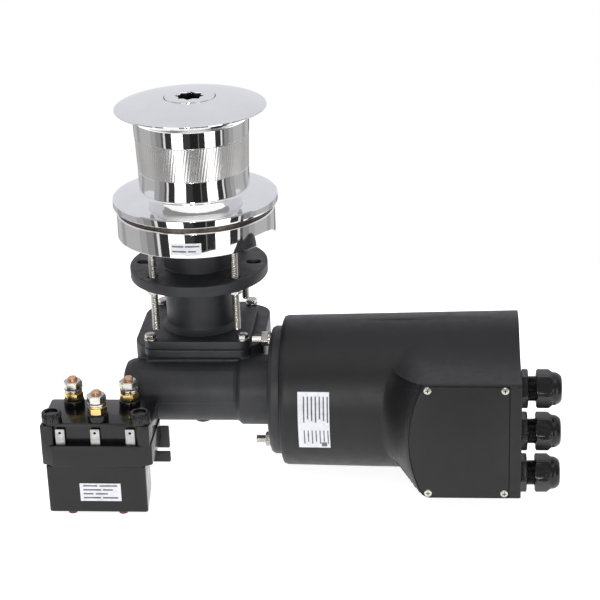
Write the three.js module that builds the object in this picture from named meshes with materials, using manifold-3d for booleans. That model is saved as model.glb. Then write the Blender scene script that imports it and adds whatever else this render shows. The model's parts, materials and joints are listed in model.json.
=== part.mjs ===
// Vertical capstan windlass with an under-deck worm gearmotor and its reversing contactor.
// Millimetres. The drum axis is Z, the deck seat is Z = 0, the motor axis runs along +X.
import * as THREE from 'three';
import { mergeVertices } from 'three/addons/utils/BufferGeometryUtils.js';
import Module from 'manifold-3d';

const wasm = await Module();
wasm.setup();

// ---- driving dimensions ----
const GAP = 0.3;
const DRUM_SEGMENTS = 32;
const BORE_SEGMENTS = 20;
const SCREW_SEGMENTS = 12;
const BASE_RADIUS = 80.8;
const BASE_TOP = 26.4;
const GROOVE_TOP = 31.3;
const DRUM_BOTTOM = 31.9;
const RIM_RADIUS = 84;
const CAP_RADIUS = 76.5;
const CAP_RIM_Z = 133.7;
const NUT_RADIUS = 25.8;
const NUT_TOP = 143.9;
const STAR_RADIUS = 15.2;
const STAR_INNER_RADIUS = 11.4;
const STAR_DEPTH = 13;
const SHAFT_RADIUS = 12.5;
const NECK_RADIUS = 36.5;
const FLANGE_RADIUS = 71.3;
const FLANGE_TOP = -34;
const FLANGE_BOTTOM = -45.5;
const PLATE_HALF = 54.5;
const PLATE_TOP = -100.8;
const PLATE_BOTTOM = -110;
const STUD_OFFSET = 41.8;
const STUD_RADIUS = 4;
const STUD_BOTTOM = -92;
const BOLT_OFFSET = 47.5;
const CHAMBER_HALF = 67;
const CHAMBER_FRONT = -46;
const CHAMBER_REAR = 70;
const CHAMBER_BOTTOM = -190;
const WHEEL_CAVITY = 41;
const AXIS_Y = -50;
const AXIS_Z = -156;
const WORM_LEFT = -75.6;
const WORM_STEP = 45.7;
const WORM_RIGHT = 76.1;
const WHEEL_TEETH = 30;
const MODULE_SIZE = 2.5;
const WHEEL_PITCH = WHEEL_TEETH * MODULE_SIZE / 2;
const WORM_PITCH = -AXIS_Y - WHEEL_PITCH;
const LEAD = Math.PI * MODULE_SIZE;
const FACE_WIDTH = 18;
const BACKLASH = 0.5;
const MOTOR_FLANGE_LEFT = 76.4;
const MOTOR_FLANGE_RIGHT = 88.7;
const MOTOR_FLANGE_RADIUS = 66;
const BOLT_CIRCLE = 57;
const COVER_LEFT = 89;
const COVER_RIGHT = 327.5;
const COVER_RADIUS_LEFT = 75.3;
const COVER_RADIUS_RIGHT = 79.8;
const COVER_WALL = 4;
const BOX_FRONT = -170;
const BOX_TOP = -95;
const BOX_BOTTOM = -217;
const LID_RIGHT = 316;
const GLAND_Y = -143;
const GLAND_Z = [-110.5, -156, -201.5];
const CASE_LEFT = -143;
const CASE_RIGHT = -33;
const CASE_FRONT = -170;
const CASE_REAR = -106;
const CASE_TOP = -141;
const CASE_BOTTOM = -236;
const LEDGE_TOP = -162;
const LEDGE_BOTTOM = -185;

// ---- materials ----
function material(color, roughness, metalness) {
  return new THREE.MeshStandardMaterial({ color, roughness, metalness });
}
const POLISHED = material(0xd9d9d6, 0.08, 1);
const STEEL = material(0xb4b4b0, 0.3, 1);
const DARK_STEEL = material(0x6e6e70, 0.45, 1);
const BLACK_METAL = material(0x2c2c2e, 0.5, 0.4);
const BLACK_PLASTIC = material(0x1f1f21, 0.5, 0);
const GLOSS_PLASTIC = material(0x111113, 0.25, 0);
const BRONZE = material(0xa9793c, 0.35, 1);
const COPPER = material(0xb87040, 0.35, 1);
const RUBBER = material(0x151515, 0.8, 0);

// ---- solids ----

// Welds a three.js geometry into a manifold solid that faces out.
function solid(geometry) {
  geometry.deleteAttribute('normal');
  geometry.deleteAttribute('uv');
  const welded = mergeVertices(geometry, 1e-4);
  const position = welded.getAttribute('position');
  const index = welded.index.array;
  const corners = [];
  let volume = 0;
  const a = new THREE.Vector3();
  const b = new THREE.Vector3();
  const c = new THREE.Vector3();
  for (let i = 0; i < index.length; i += 3) {
    const [p, q, r] = [index[i], index[i + 1], index[i + 2]];
    if (p === q || q === r || r === p) continue;
    corners.push(p, q, r);
    a.fromBufferAttribute(position, p);
    b.fromBufferAttribute(position, q);
    c.fromBufferAttribute(position, r);
    volume += a.dot(b.cross(c));
  }
  if (volume < 0) corners.reverse();
  return new wasm.Manifold(new wasm.Mesh({
    numProp: 3,
    vertProperties: new Float32Array(position.array),
    triVerts: new Uint32Array(corners),
  }));
}

// A solid of revolution about Z from a list of [radius, z].
function turned(profile, segments = BORE_SEGMENTS) {
  const points = profile.map(([r, z]) => new THREE.Vector2(r, z));
  const geometry = new THREE.LatheGeometry(points, segments);
  geometry.rotateX(Math.PI / 2);
  return solid(geometry);
}

function rod(radius, low, high, segments = SCREW_SEGMENTS) {
  const geometry = new THREE.CylinderGeometry(radius, radius, high - low, segments);
  geometry.rotateX(Math.PI / 2);
  geometry.translate(0, 0, (low + high) / 2);
  return solid(geometry);
}

// A hexagonal prism about Z, measured across its flats.
function hexagon(acrossFlats, low, high) {
  return rod(acrossFlats / Math.sqrt(3), low, high, 6);
}

function block(x0, x1, y0, y1, z0, z1) {
  const geometry = new THREE.BoxGeometry(x1 - x0, y1 - y0, z1 - z0);
  geometry.translate((x0 + x1) / 2, (y0 + y1) / 2, (z0 + z1) / 2);
  return solid(geometry);
}

// A rounded rectangle outline.
function roundedOutline(x0, x1, y0, y1, radius) {
  const shape = new THREE.Shape();
  shape.moveTo(x0 + radius, y0);
  shape.lineTo(x1 - radius, y0);
  shape.absarc(x1 - radius, y0 + radius, radius, -Math.PI / 2, 0);
  shape.lineTo(x1, y1 - radius);
  shape.absarc(x1 - radius, y1 - radius, radius, 0, Math.PI / 2);
  shape.lineTo(x0 + radius, y1);
  shape.absarc(x0 + radius, y1 - radius, radius, Math.PI / 2, Math.PI);
  shape.lineTo(x0, y0 + radius);
  shape.absarc(x0 + radius, y0 + radius, radius, Math.PI, 1.5 * Math.PI);
  return shape;
}

// A flat shape raised along Z, with an optional rounded edge of the given size at both ends.
function raised(shape, low, high, edge = 0, curveSegments = 3) {
  const geometry = new THREE.ExtrudeGeometry(shape, {
    depth: high - low - 2 * edge,
    curveSegments,
    bevelEnabled: edge > 0,
    bevelThickness: edge,
    bevelSize: edge,
    bevelOffset: -edge,
    bevelSegments: 1,
  });
  geometry.translate(0, 0, low + edge);
  return solid(geometry);
}

// Turns a solid made along Z so that it lies along +X at the given height and depth.
function alongX(shape, y = AXIS_Y, z = AXIS_Z) {
  return shape.rotate([0, 90, 0]).translate([0, y, z]);
}

// Turns a solid made along Z so that its top faces -Y: shape X stays X and shape Y becomes Z.
function facingFront(shape) {
  return shape.rotate([90, 0, 0]);
}

// ---- drum and clutch ----

function drum() {
  return ringOf([
    [60, DRUM_BOTTOM], [82.6, DRUM_BOTTOM], [RIM_RADIUS, DRUM_BOTTOM + 1.2], [RIM_RADIUS, 39.6],
    [83, 41], [76, 43.4], [66, 45.8], [58, 48.1], [56.2, 49.2],
    [57, 50], [56.2, 70.5], [55.7, 70.9], [56.3, 71.4], [57.7, 104.6],
    [57.2, 105.1], [57.9, 105.6], [58.8, 122.4], [61, 123], [66, 128.4],
    [75.4, 131.8], [CAP_RADIUS, 132.6], [CAP_RADIUS, CAP_RIM_Z], [74.6, 134.8],
    [64, 138], [46, 141.2], [26.2, 143.1],
    [26.2, 130], [24.9, 130], [18.9, 106], [17, 106], [17, 90.3], [20.3, 90.3], [34.3, 62],
    [46, 62], [46, 44], [60, 38],
  ]);
}

// The eight-pointed socket that takes the windlass handle.
function starSocket() {
  const star = new THREE.Shape();
  for (let i = 0; i < 16; i++) {
    const radius = i % 2 === 0 ? STAR_RADIUS : STAR_INNER_RADIUS;
    const angle = i * Math.PI / 8;
    const x = radius * Math.cos(angle);
    const y = radius * Math.sin(angle);
    if (i === 0) star.moveTo(x, y);
    else star.lineTo(x, y);
  }
  star.closePath();
  return raised(star, NUT_TOP - STAR_DEPTH, NUT_TOP + 1);
}

function clutchNut() {
  const body = turned([
    [12.9, 113], [17.6, 113], [17.6, 130.4], [NUT_RADIUS, 130.4], [NUT_RADIUS, NUT_TOP - 0.7],
    [NUT_RADIUS - 0.7, NUT_TOP], [0, NUT_TOP], [0, 128], [12.9, 128], [12.9, 113],
  ], DRUM_SEGMENTS);
  return body.subtract(starSocket());
}

function upperClutchCone() {
  return turned([
    [12.8, 106], [18.6, 106], [24.6, 130], [18, 130], [18, 112.7], [12.8, 112.7], [12.8, 106],
  ], DRUM_SEGMENTS);
}

function lowerClutchCone() {
  return ringOf([[12.8, 58], [34, 58], [34, 62], [20, 90], [12.8, 90]]);
}

// A turned ring whose profile is closed on itself.
function ringOf(profile, segments = DRUM_SEGMENTS) {
  return turned([...profile, profile[0]], segments);
}

function mainShaft() {
  return turned([
    [0, -187], [11.6, -187], [SHAFT_RADIUS, -186], [SHAFT_RADIUS, 52], [16, 52], [16, 57.7],
    [SHAFT_RADIUS, 57.7], [SHAFT_RADIUS, 126.5], [11.5, 127.5], [0, 127.5],
  ]);
}

// ---- deck base, neck and studs ----

const STUD_CORNERS = [[1, 1], [-1, 1], [-1, -1], [1, -1]];

function basePlate() {
  let body = ringOf([
    [20.6, 20.8], [37.2, 20.8], [37.2, 0], [BASE_RADIUS - 0.8, 0], [BASE_RADIUS, 0.8],
    [BASE_RADIUS, BASE_TOP - 1], [BASE_RADIUS - 1, BASE_TOP], [78, BASE_TOP],
    [78, GROOVE_TOP], [20.6, GROOVE_TOP],
  ]);
  for (const [sx, sy] of STUD_CORNERS) {
    const hole = rod(STUD_RADIUS + GAP, -5, 15.3);
    body = body.subtract(hole.translate([sx * STUD_OFFSET, sy * STUD_OFFSET, 0]));
  }
  return body;
}

function shaftSeal() {
  return ringOf([[13, 21.5], [20.2, 21.5], [20.2, 30.8], [13, 30.8]], BORE_SEGMENTS);
}

function upperBearing() {
  return ringOf([[12.8, 3.3], [17.6, 3.3], [17.6, 19.7], [12.8, 19.7]], BORE_SEGMENTS);
}

// A radial slot through the round flange, centred on the given radius.
function flangeSlot(angle, centre, halfLength, halfWidth) {
  const shape = roundedOutline(
    centre - halfLength, centre + halfLength, -halfWidth, halfWidth, halfWidth - 0.01);
  return raised(shape, FLANGE_BOTTOM - 2, FLANGE_TOP + 2, 0, 2).rotate([0, 0, angle]);
}

function neckCasting() {
  let body = ringOf([
    [17.9, 20.2], [NECK_RADIUS - 1, 20.2], [NECK_RADIUS, 19.2], [NECK_RADIUS, FLANGE_TOP],
    [FLANGE_RADIUS - 1, FLANGE_TOP], [FLANGE_RADIUS, FLANGE_TOP - 1],
    [FLANGE_RADIUS, FLANGE_BOTTOM + 1], [FLANGE_RADIUS - 1, FLANGE_BOTTOM],
    [NECK_RADIUS, FLANGE_BOTTOM], [NECK_RADIUS, -93], [38.4, -98], [42, PLATE_TOP + 0.2],
    [42, PLATE_BOTTOM + 1], [WHEEL_CAVITY - GAP, PLATE_BOTTOM + 1],
    [WHEEL_CAVITY - GAP, PLATE_BOTTOM - 3], [13.2, PLATE_BOTTOM - 3],
    [13.2, -92], [28, -88], [28, -8], [13.2, -4], [13.2, 3], [17.9, 3],
  ]);
  const plate = raised(
    roundedOutline(-PLATE_HALF, PLATE_HALF, -PLATE_HALF, PLATE_HALF, 12),
    PLATE_BOTTOM, PLATE_TOP, 0.8);
  body = body.add(plate.subtract(rod(41.4, PLATE_BOTTOM - 2, PLATE_TOP + 2, DRUM_SEGMENTS)));
  for (const [sx, sy] of STUD_CORNERS) {
    const hole = rod(STUD_RADIUS + GAP, PLATE_BOTTOM - 2, PLATE_TOP + 2);
    body = body.subtract(hole.translate([sx * BOLT_OFFSET, sy * BOLT_OFFSET, 0]));
  }
  const studRadius = STUD_OFFSET * Math.SQRT2;
  for (const angle of [45, 135, 225, 315]) {
    body = body.subtract(flangeSlot(angle, studRadius, 6, 4.8));
  }
  for (const angle of [0, 180]) {
    body = body.subtract(flangeSlot(angle, 57, 8, 5.5));
  }
  return body;
}

function stud() {
  return rod(STUD_RADIUS, STUD_BOTTOM, 15);
}

// The nut under the round flange, with its washer face.
function studNut() {
  const nut = hexagon(13, FLANGE_BOTTOM - 6.2, FLANGE_BOTTOM - 1);
  const washer = rod(8, FLANGE_BOTTOM - 2, FLANGE_BOTTOM - GAP, BORE_SEGMENTS);
  return nut.add(washer).subtract(rod(STUD_RADIUS + GAP, -60, -40));
}

function neckBolt() {
  const head = hexagon(13, PLATE_TOP + 1, PLATE_TOP + 7);
  const washer = rod(7.2, PLATE_TOP + GAP, PLATE_TOP + 2, BORE_SEGMENTS);
  return head.add(washer).add(rod(STUD_RADIUS, -128, PLATE_TOP + 1));
}

// ---- gearbox ----

function gearHousing() {
  const chamber = raised(
    roundedOutline(-CHAMBER_HALF, CHAMBER_HALF, CHAMBER_FRONT, CHAMBER_REAR, 24),
    CHAMBER_BOTTOM, PLATE_BOTTOM - GAP, 3, 5);
  const seat = raised(
    roundedOutline(-PLATE_HALF, PLATE_HALF, -PLATE_HALF, PLATE_HALF, 12),
    PLATE_BOTTOM - 9.3, PLATE_BOTTOM - GAP, 0.8);
  const tube = alongX(turned([
    [0, WORM_LEFT], [24, WORM_LEFT], [29.5, WORM_LEFT + 2.4], [32, WORM_LEFT + 8],
    [32, WORM_STEP - 4], [36, WORM_STEP], [36, WORM_RIGHT], [0, WORM_RIGHT],
  ], 32));
  const badgePad = alongX(rod(33, -57, 40, 32)).intersect(block(-58, 41, -90, -58, -157, -127.5));
  const bridge = block(-52, 52, -52, -40, -182, -117);
  const drainBoss = rod(9, -190.4, -180).translate([-4, AXIS_Y, 0]);
  let body = chamber.add(seat).add(tube).add(badgePad).add(bridge).add(drainBoss);
  body = body.subtract(rod(WHEEL_CAVITY, -176, -100, DRUM_SEGMENTS));
  body = body.subtract(rod(17.9, -188, -170, BORE_SEGMENTS));
  body = body.subtract(alongX(rod(17.3, -57.7, 90, BORE_SEGMENTS)));
  body = body.subtract(alongX(rod(16.3, -68.3, -50, BORE_SEGMENTS)));
  body = body.subtract(alongX(rod(20.3, 50.7, 90, BORE_SEGMENTS)));
  for (const [sx, sy] of STUD_CORNERS) {
    const hole = rod(STUD_RADIUS + GAP, -128.4, -100);
    body = body.subtract(hole.translate([sx * BOLT_OFFSET, sy * BOLT_OFFSET, 0]));
  }
  return body;
}

function lowerBearing() {
  return ringOf([[12.8, -187.7], [17.6, -187.7], [17.6, -176.3], [12.8, -176.3]],
    BORE_SEGMENTS);
}

// A radius on the worm wheel for each corner of one tooth, and its angle from the tooth centre.
function toothCorners() {
  const half = (LEAD / 2 - BACKLASH) / 2;
  const slope = Math.tan(20 * Math.PI / 180);
  const tip = WHEEL_PITCH + 2.3;
  const root = WHEEL_PITCH - 3;
  const tipAngle = (half - 2.3 * slope) / tip;
  const rootAngle = (half + 1.2 * slope) / root;
  return [[root, -rootAngle], [tip, -tipAngle], [tip, tipAngle], [root, rootAngle]];
}

// The helical worm wheel with a plain hub. A tooth space faces -Y at rest.
function wormWheel() {
  const outline = new THREE.Shape();
  const corners = toothCorners();
  for (let tooth = 0; tooth < WHEEL_TEETH; tooth++) {
    const centre = -Math.PI / 2 + (tooth + 0.5) * 2 * Math.PI / WHEEL_TEETH;
    corners.forEach(([radius, angle], corner) => {
      const x = radius * Math.cos(centre + angle);
      const y = radius * Math.sin(centre + angle);
      if (tooth === 0 && corner === 0) outline.moveTo(x, y);
      else outline.lineTo(x, y);
    });
  }
  outline.closePath();
  const geometry = new THREE.ExtrudeGeometry(outline, {
    depth: FACE_WIDTH, steps: 1, bevelEnabled: false,
  });
  const twistPerMm = LEAD / (2 * Math.PI * WORM_PITCH) / WHEEL_PITCH;
  const position = geometry.getAttribute('position');
  for (let i = 0; i < position.count; i++) {
    const height = position.getZ(i) - FACE_WIDTH / 2;
    const turn = height * twistPerMm;
    const x = position.getX(i);
    const y = position.getY(i);
    position.setX(i, x * Math.cos(turn) - y * Math.sin(turn));
    position.setY(i, x * Math.sin(turn) + y * Math.cos(turn));
    position.setZ(i, height + AXIS_Z);
  }
  const hub = rod(20, -175.8, -137, BORE_SEGMENTS);
  return solid(geometry).add(hub).subtract(rod(SHAFT_RADIUS + GAP, -180, -130, BORE_SEGMENTS));
}

// The single-start right-hand worm along Z, as one grid that follows the helix.
function wormThread(halfLength) {
  const around = 16;
  const half = (LEAD / 2 - BACKLASH) / 2;
  const slope = Math.tan(20 * Math.PI / 180);
  const profile = [
    [-half - 2.9 * slope, WORM_PITCH - 2.9], [-half + 2.3 * slope, WORM_PITCH + 2.3],
    [half - 2.3 * slope, WORM_PITCH + 2.3], [half + 2.9 * slope, WORM_PITCH - 2.9],
  ];
  const turns = Math.ceil(halfLength / LEAD) + 1;
  const vertices = [];
  for (let turn = -turns; turn <= turns; turn++) {
    for (const [offset, radius] of profile) {
      for (let step = 0; step <= around; step++) {
        const angle = Math.PI / 2 + step * 2 * Math.PI / around;
        const along = (turn + step / around) * LEAD + offset;
        vertices.push(radius * Math.cos(angle), radius * Math.sin(angle), along);
      }
    }
  }
  const rows = (2 * turns + 1) * profile.length;
  const width = around + 1;
  const faces = [];
  for (let row = 0; row < rows - 1; row++) {
    for (let step = 0; step < around; step++) {
      const p = row * width + step;
      faces.push(p, p + 1, p + width, p + 1, p + width + 1, p + width);
    }
  }
  // Each open end is one turn of thread and one radial profile; a fan from the axis closes it.
  const low = vertices.length / 3;
  vertices.push(0, 0, -(turns + 1) * LEAD);
  const high = low + 1;
  vertices.push(0, 0, (turns + 3) * LEAD);
  const last = (rows - 1) * width;
  for (let step = 0; step < around; step++) {
    faces.push(low, step + 1, step);
    faces.push(high, last + step, last + step + 1);
  }
  for (let row = 0; row < profile.length; row++) {
    faces.push(low, row * width, (row + 1) * width);
  }
  const firstOpen = rows - 1 - profile.length;
  for (let row = firstOpen; row < rows - 1; row++) {
    faces.push(high, (row + 1) * width + around, row * width + around);
  }
  const geometry = new THREE.BufferGeometry();
  geometry.setAttribute('position', new THREE.Float32BufferAttribute(vertices, 3));
  geometry.setIndex(faces);
  const envelope = rod(WORM_PITCH + 4, -halfLength, halfLength, 16);
  return solid(geometry).intersect(envelope);
}

function wormShaft() {
  const spindle = turned([
    [0, -68], [8, -68], [8, -58], [9.4, -57], [9.4, 50.6], [8, 50.6], [8, 78], [0, 78],
  ]);
  const slot = block(-9, 9, -2.8, 2.8, 71.7, 80);
  return spindle.add(wormThread(26)).subtract(slot);
}

function wormBearing(outer, left, right) {
  return ringOf([[8.3, left], [outer, left], [outer, right], [8.3, right]], BORE_SEGMENTS);
}

// ---- motor ----

function motorFlange() {
  let body = ringOf([
    [9, MOTOR_FLANGE_LEFT], [60, MOTOR_FLANGE_LEFT], [64, MOTOR_FLANGE_LEFT + 1.2],
    [MOTOR_FLANGE_RADIUS, MOTOR_FLANGE_LEFT + 4.5], [MOTOR_FLANGE_RADIUS, MOTOR_FLANGE_RIGHT],
    [44.6, MOTOR_FLANGE_RIGHT], [44.6, 94], [9, 94],
  ]);
  for (const side of [-1, 1]) {
    const hole = rod(STUD_RADIUS + GAP, MOTOR_FLANGE_LEFT - 5, 100);
    body = body.subtract(hole.translate([side * BOLT_CIRCLE, 0, 0]));
  }
  return body;
}

function throughBolt() {
  const head = hexagon(13, 288.3, 294);
  return head.add(rod(STUD_RADIUS, 58, 289));
}

// The nut on the gearbox side of the motor flange, with its washer face.
function throughNut() {
  const nut = hexagon(13, 67.4, 75.4);
  const washer = rod(8, 74.4, MOTOR_FLANGE_LEFT - GAP, BORE_SEGMENTS);
  return nut.add(washer).subtract(rod(STUD_RADIUS + GAP, 60, 80));
}

function motorYoke() {
  return ringOf([[45, 89], [51.5, 89], [51.5, 262], [45, 262]], 24);
}

function motorEndBell() {
  let body = ringOf([
    [9, 262.3], [63, 262.3], [63, 270], [54, 276], [30, 276], [30, 288], [9, 288],
  ], 24);
  const seats = [-1, 1].map((side) => rod(9, 268, 288).translate([side * BOLT_CIRCLE, 0, 0]));
  for (const seat of seats) body = body.add(seat);
  for (const side of [-1, 1]) {
    const hole = rod(STUD_RADIUS + GAP, 255, 295);
    body = body.subtract(hole.translate([side * BOLT_CIRCLE, 0, 0]));
  }
  return body;
}

// The wound core, the commutator and the shaft, with a tongue that enters the worm shaft.
function armature() {
  const body = turned([
    [0, 78.6], [8, 78.6], [8, 106], [30, 106], [34, 112], [43.4, 112], [43.4, 214],
    [34, 214], [30, 222], [22, 222], [22, 246], [8, 246], [8, 286], [0, 286],
  ], 24);
  const tongue = block(-6, 6, -2.4, 2.4, 72.2, 80);
  return body.add(tongue);
}

// ---- motor cover, junction box and glands ----

// The front outline of the junction box: X across, Z up, with a bowed left side.
function boxOutline(inset, right) {
  const bow = 135;
  const centreX = 217.6 + bow;
  const radius = bow - inset;
  const top = BOX_TOP - inset;
  const bottom = BOX_BOTTOM + inset;
  const half = Math.asin((top - AXIS_Z - 5) / radius);
  const shape = new THREE.Shape();
  shape.moveTo(right, bottom);
  shape.lineTo(right, top);
  shape.lineTo(239 + inset * 0.6, top);
  const upper = [centreX - radius * Math.cos(half), AXIS_Z + radius * Math.sin(half)];
  shape.quadraticCurveTo(upper[0] + 1.6, top, upper[0], upper[1]);
  shape.absarc(centreX, AXIS_Z, radius, Math.PI - half, Math.PI + half, false);
  shape.quadraticCurveTo(upper[0] + 1.6, bottom, 239 + inset * 0.6, bottom);
  shape.closePath();
  return shape;
}

// The outline pushed back along +Y from its front face, flaring to the left as it deepens.
function boxSolid(inset, right, front, back, flare) {
  const shape = boxOutline(inset, right);
  const geometry = new THREE.ExtrudeGeometry(shape, {
    depth: back - front, steps: flare ? 6 : 1, curveSegments: 5, bevelEnabled: false,
  });
  geometry.translate(0, 0, -back);
  geometry.rotateX(Math.PI / 2);
  if (flare) {
    const position = geometry.getAttribute('position');
    for (let i = 0; i < position.count; i++) {
      const depth = Math.min(1, (position.getY(i) - front) / 80);
      const share = (right - position.getX(i)) / (right - 217.6);
      position.setX(i, position.getX(i) - flare * depth ** 0.8 * share);
      const height = position.getZ(i) - AXIS_Z;
      position.setZ(i, AXIS_Z + height * (1 + 0.08 * depth * depth));
    }
  }
  return solid(geometry);
}

const LID_SCREWS = [[237.5, -101], [311.4, -101], [237.5, -211], [311.4, -211]];

function motorCover() {
  const outside = alongX(turned([
    [0, COVER_LEFT], [COVER_RADIUS_LEFT - 4.5, COVER_LEFT],
    [COVER_RADIUS_LEFT - 1.3, COVER_LEFT + 1.3], [COVER_RADIUS_LEFT, COVER_LEFT + 4.5],
    [COVER_RADIUS_RIGHT, COVER_RIGHT], [0, COVER_RIGHT],
  ], DRUM_SEGMENTS));
  const inside = alongX(turned([
    [0, COVER_LEFT - 5], [62.8, COVER_LEFT - 5], [62.8, COVER_LEFT + COVER_WALL],
    [COVER_RADIUS_LEFT - COVER_WALL, COVER_LEFT + COVER_WALL], [75.3, 319.7],
    [75.7, 319.7], [75.7, COVER_RIGHT + 5], [0, COVER_RIGHT + 5],
  ], DRUM_SEGMENTS));
  const box = boxSolid(0, COVER_RIGHT, BOX_FRONT, AXIS_Y, 30);
  const boxInside = boxSolid(6, COVER_RIGHT - COVER_WALL, BOX_FRONT + 8, AXIS_Y, 0);
  const mouth = boxSolid(6, 308, BOX_FRONT - 2, BOX_FRONT + 9, 0);
  const lidPocket = boxSolid(1.3, LID_RIGHT + GAP, BOX_FRONT - 2, BOX_FRONT + 3.4, 0);
  let body = outside.add(box).subtract(boxInside).subtract(inside);
  body = body.subtract(mouth);
  for (const [x, z] of LID_SCREWS) {
    const boss = facingFront(rod(5.4, 145, -BOX_FRONT - 3.6)).translate([x, 0, z]);
    body = body.add(boss);
  }
  body = body.subtract(lidPocket);
  for (const [x, z] of LID_SCREWS) {
    const hole = facingFront(rod(2.3, 150, 180)).translate([x, 0, z]);
    body = body.subtract(hole);
  }
  for (const z of GLAND_Z) {
    body = body.subtract(alongX(rod(12.5 + GAP, 310, 335, BORE_SEGMENTS), GLAND_Y, z));
  }
  return body;
}

function coverEndCap() {
  return turned([[0, 321], [75.2, 321], [75.2, 326.3], [74.4, 327.1], [0, 327.1]],
    DRUM_SEGMENTS);
}

function junctionLid() {
  let body = boxSolid(1.6, LID_RIGHT, BOX_FRONT, BOX_FRONT + 3.1, 0);
  for (const [x, z] of LID_SCREWS) {
    body = body.subtract(facingFront(rod(2.3, 150, 180)).translate([x, 0, z]));
    body = body.subtract(facingFront(rod(4.2, 168.6, 180)).translate([x, 0, z]));
  }
  return body;
}

function lidScrew() {
  return facingFront(rod(3.9, 168.9, 170.8).add(rod(1.9, 154, 169.5)));
}

function glandBody() {
  const flange = hexagon(33, COVER_RIGHT + GAP, 333.6);
  const barrel = rod(12.5, 318, 352, BORE_SEGMENTS);
  return flange.add(barrel).subtract(rod(8.5, 310, 360, BORE_SEGMENTS));
}

function glandNut() {
  const grip = hexagon(33, 341.5, 356);
  const dome = turned([
    [0, 350], [16.4, 350], [16.4, 357], [15.6, 361], [13, 364.6], [10, 366], [0, 366],
  ]);
  const bore = turned([[0, 340], [12.8, 340], [12.8, 352.5], [8.5, 354], [8.5, 370], [0, 370]]);
  return grip.add(dome).subtract(bore);
}

// ---- reversing contactor ----

const TERMINALS = [[-116, -120], [-60, -120], [-86.5, -152]];
const TABS = [-122.8, -88, -53.2];
const KNOBS = [[-131.5, -157.5], [-43.5, -157.5]];

function contactorCase() {
  const shell = raised(roundedOutline(-139, -43, -168, -108, 3), CASE_BOTTOM, LEDGE_BOTTOM - GAP, 1);
  const hollow = block(-135, -47, -164, -112, CASE_BOTTOM + 4, LEDGE_BOTTOM + 2);
  let body = shell.subtract(hollow);
  for (const x of [-117, -66]) {
    body = body.add(rod(4.6, CASE_BOTTOM - 3, CASE_BOTTOM + 1).translate([x, -162, 0]));
  }
  return body;
}

function contactorLid() {
  const ledge = raised(
    roundedOutline(CASE_LEFT, CASE_RIGHT, CASE_FRONT, CASE_REAR, 5), LEDGE_BOTTOM, LEDGE_TOP, 2);
  const upper = raised(
    roundedOutline(CASE_LEFT + 1, CASE_RIGHT - 1, -162.5, CASE_REAR, 3), LEDGE_TOP - 4, CASE_TOP, 1);
  let body = ledge.add(upper);
  for (const [x0, x1] of [[CASE_LEFT + 1, -129.5], [-46.5, CASE_RIGHT - 1]]) {
    body = body.add(block(x0, x1, -168.5, -160, LEDGE_TOP - 4, CASE_TOP));
  }
  body = body.subtract(block(-134, -42, -157, -112, LEDGE_BOTTOM - 2, CASE_TOP - 5));
  for (const [x, y] of TERMINALS) {
    body = body.add(rod(10.5, CASE_TOP - 2, -133.8, BORE_SEGMENTS).translate([x, y, 0]));
    body = body.subtract(rod(5 + GAP, -160, -130).translate([x, y, 0]));
  }
  for (const [x, y] of KNOBS) {
    body = body.add(rod(10, CASE_TOP - 2, -130, BORE_SEGMENTS).translate([x, y, 0]));
  }
  for (const x of TABS) {
    body = body.subtract(block(x - 4.9, x + 4.9, -166.7, -164.9, -170, LEDGE_TOP + 1));
  }
  return body;
}

// The mounting plate behind the contactor, with an open slot at each end.
function contactorBracket() {
  let body = block(-151, -25, -105.7, -102.7, -212, -172);
  const slot = facingFront(raised(roundedOutline(-38, -10, -2.5, 2.5, 2.49), 90, 120));
  body = body.subtract(slot.translate([0, 0, -198.3]));
  return body.subtract(slot.mirror([1, 0, 0]).translate([-176, 0, -198.3]));
}

// A copper stud with the hexagonal shoulder it is tightened by.
function contactorStud() {
  return hexagon(17, -133.5, -124.5).add(rod(5, -150, -110));
}

function contactorNut() {
  return hexagon(17, -124.2, -113.5).subtract(rod(5 + GAP, -130, -110));
}

function contactorTab() {
  const blade = block(-4.6, 4.6, -166.2, -165.4, -169.5, -145.5);
  return blade.subtract(facingFront(rod(1.4, 160, 170)).translate([0, 0, -149.5]));
}

// ---- assembly ----

const windlass = new THREE.Group();
windlass.name = 'capstan_windlass';

// A nested group. A lengthwise group turns its own Z onto the +X of the whole.
function group(name, position = [0, 0, 0], lengthwise = false) {
  const made = new THREE.Group();
  made.name = name;
  made.position.set(...position);
  if (lengthwise) made.rotation.y = Math.PI / 2;
  windlass.add(made);
  return made;
}

// Adds one solid to a group as a named mesh.
function place(parent, name, shape, surface, position = [0, 0, 0]) {
  const mesh = shape.getMesh();
  const geometry = new THREE.BufferGeometry();
  geometry.setAttribute('position', new THREE.BufferAttribute(mesh.vertProperties, 3));
  geometry.setIndex(new THREE.BufferAttribute(mesh.triVerts, 1));
  geometry.computeVertexNormals();
  const node = new THREE.Mesh(geometry, surface);
  node.name = name;
  node.position.set(...position);
  parent.add(node);
}

const deckUnit = group('deck_unit');
place(deckUnit, 'base_plate', basePlate(), POLISHED);
place(deckUnit, 'shaft_seal', shaftSeal(), RUBBER);
place(deckUnit, 'neck_casting', neckCasting(), BLACK_METAL);
place(deckUnit, 'upper_bearing', upperBearing(), BRONZE);
STUD_CORNERS.forEach(([sx, sy], i) => {
  const at = [sx * STUD_OFFSET, sy * STUD_OFFSET, 0];
  place(deckUnit, `stud_${i + 1}`, stud(), STEEL, at);
  place(deckUnit, `stud_nut_${i + 1}`, studNut(), STEEL, at);
  const boltAt = [sx * BOLT_OFFSET, sy * BOLT_OFFSET, 0];
  place(deckUnit, `neck_bolt_${i + 1}`, neckBolt(), STEEL, boltAt);
});

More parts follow.
